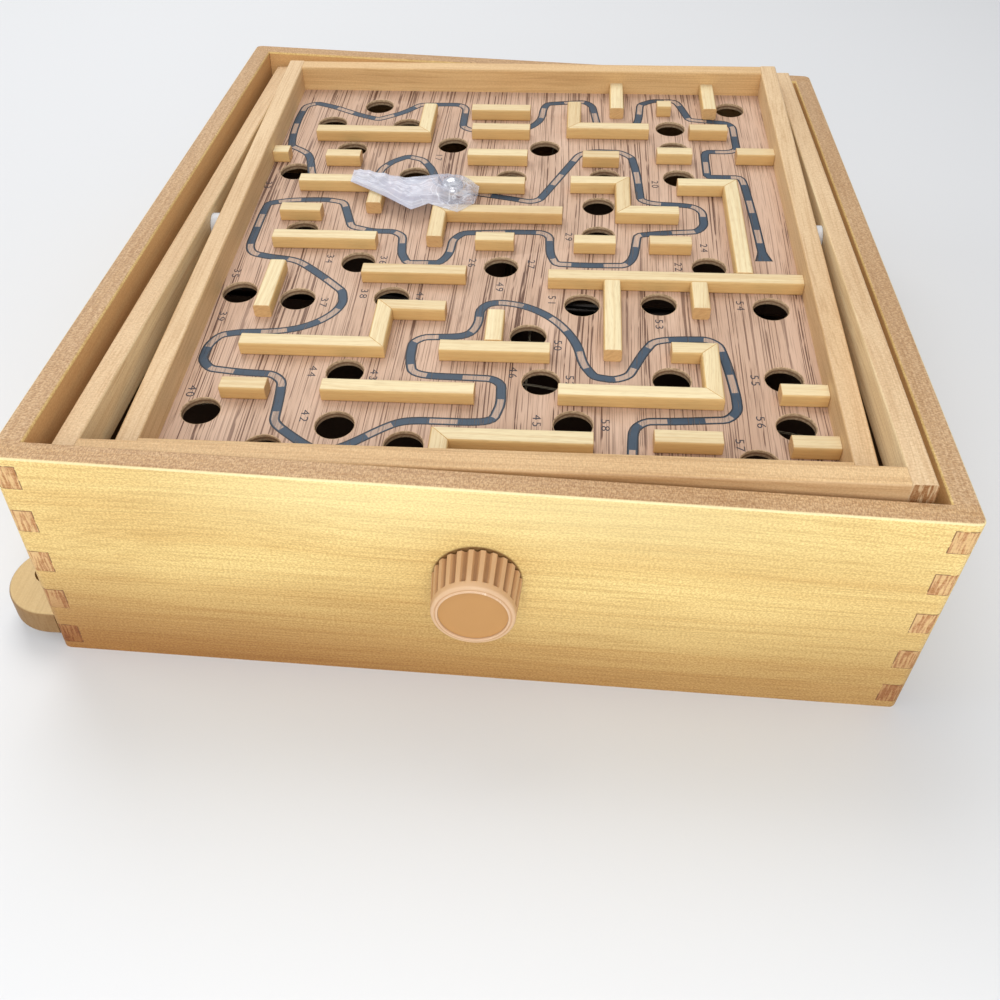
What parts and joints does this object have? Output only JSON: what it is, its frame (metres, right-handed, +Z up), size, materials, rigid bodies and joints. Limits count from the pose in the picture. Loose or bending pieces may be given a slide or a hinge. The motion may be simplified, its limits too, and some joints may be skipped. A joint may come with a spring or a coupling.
{
  "type": "dexterity puzzle",
  "caption": "Wooden box with a maze board on two nested tilting frames; knobs tilt the frames by cords to steer a steel ball past holes.",
  "frame": {"origin": "on the surface it stands on, below the middle of the whole outline", "axes": "+X to the right seen from the front knob, +Y to the back, +Z up"},
  "size_m": [0.3006, 0.3364, 0.0975],
  "materials": {
    "box_wood": "satin varnish",
    "tray_wood": "satin varnish",
    "hardboard": "smooth",
    "batten_wood": "sawn",
    "frame_wood": "satin varnish",
    "rail_wood": "satin varnish",
    "plywood": "matt with open grain",
    "strip_wood": "matt",
    "steel_wire": "plain",
    "spacer_plastic": "plain",
    "cord_thread": "twisted thread",
    "knob_plastic": "moulded",
    "shaft_steel": "black gloss",
    "polished_steel": "polished",
    "clear_film": "clear crumpled film"
  },
  "bodies": {
    "box": {"front_wall": "box_wood", "back_wall": "box_wood", "left_wall": "box_wood", "right_wall": "box_wood", "return_board": "hardboard", "left_batten": "batten_wood", "right_batten": "batten_wood", "ball_tray": "tray_wood", "cord_guides": "steel_wire", "tilt_cord": "cord_thread", "board_cord": "cord_thread"},
    "tilting_frame": {"frame_left_rail": "frame_wood", "frame_right_rail": "frame_wood", "frame_front_rail": "frame_wood", "frame_back_rail": "frame_wood", "frame_pivot_pins": "steel_wire", "frame_washers": "spacer_plastic", "frame_cord_hooks": "steel_wire", "frame_spring": "steel_wire"},
    "board": {"board_left_rail": "rail_wood", "board_right_rail": "rail_wood", "board_front_rail": "rail_wood", "board_back_rail": "rail_wood", "playing_board": "plywood", "board_pivot_pins": "steel_wire", "board_spacers": "spacer_plastic", "board_cord_hooks": "steel_wire", "board_spring": "steel_wire", "maze_left_zigzag": "strip_wood", "maze_front_corner": "strip_wood", "maze_centre_tee": "strip_wood", "maze_long_comb": "strip_wood", "maze_right_hook": "strip_wood", "maze_back_left_corner": "strip_wood", "maze_left_corner": "strip_wood", "maze_centre_corner": "strip_wood", "maze_back_right_corner": "strip_wood", "maze_right_zigzag": "strip_wood", "maze_right_corner": "strip_wood", "maze_left_bars": "strip_wood", "maze_centre_bars": "strip_wood", "maze_left_upright": "strip_wood", "maze_back_uprights": "strip_wood", "maze_front_blocks": "strip_wood", "maze_middle_blocks": "strip_wood", "maze_back_blocks": "strip_wood"},
    "front_control": {"front_knob": "knob_plastic", "front_shaft": "shaft_steel"},
    "side_control": {"side_knob": "knob_plastic", "side_shaft": "shaft_steel"},
    "bagged_ball": {"ball_bag": "clear_film", "steel_ball": "polished_steel"}
  },
  "joints": [
    {"name": "frame_tilt", "type": "hinge", "parent": "box", "child": "tilting_frame", "pos_m": [0.01025, 0.00767, 0.0768], "axis": [0, -1, 0], "range_deg": [-8.45, 3.55], "deforming": ["tilt_cord", "frame_spring"]},
    {"name": "board_tilt", "type": "hinge", "parent": "tilting_frame", "child": "board", "pos_m": [0.01025, 0.00767, 0.0768], "axis": [0.9991, 0, 0.0427], "range_deg": [-10.1, 1.9], "deforming": ["board_cord", "board_spring"]},
    {"name": "front_knob_turn", "type": "hinge", "parent": "box", "child": "front_control", "pos_m": [0.01025, -0.15282, 0.049], "axis": [0, -1, 0], "range_deg": [-280, 120]},
    {"name": "side_knob_turn", "type": "hinge", "parent": "box", "child": "side_control", "pos_m": [-0.12975, 0.00767, 0.0425], "axis": [1, 0, 0], "range_deg": [-356, 70]},
    {"name": "bag_lift", "type": "slide", "parent": "board", "child": "bagged_ball", "axis": [-0.0426, -0.0715, 0.9965], "range_m": [0, 0.04]}
  ],
  "couplings": [
    {"joint": "front_knob_turn", "follows": "frame_tilt", "ratio": 32.697},
    {"joint": "side_knob_turn", "follows": "board_tilt", "ratio": 34.934}
  ]
}
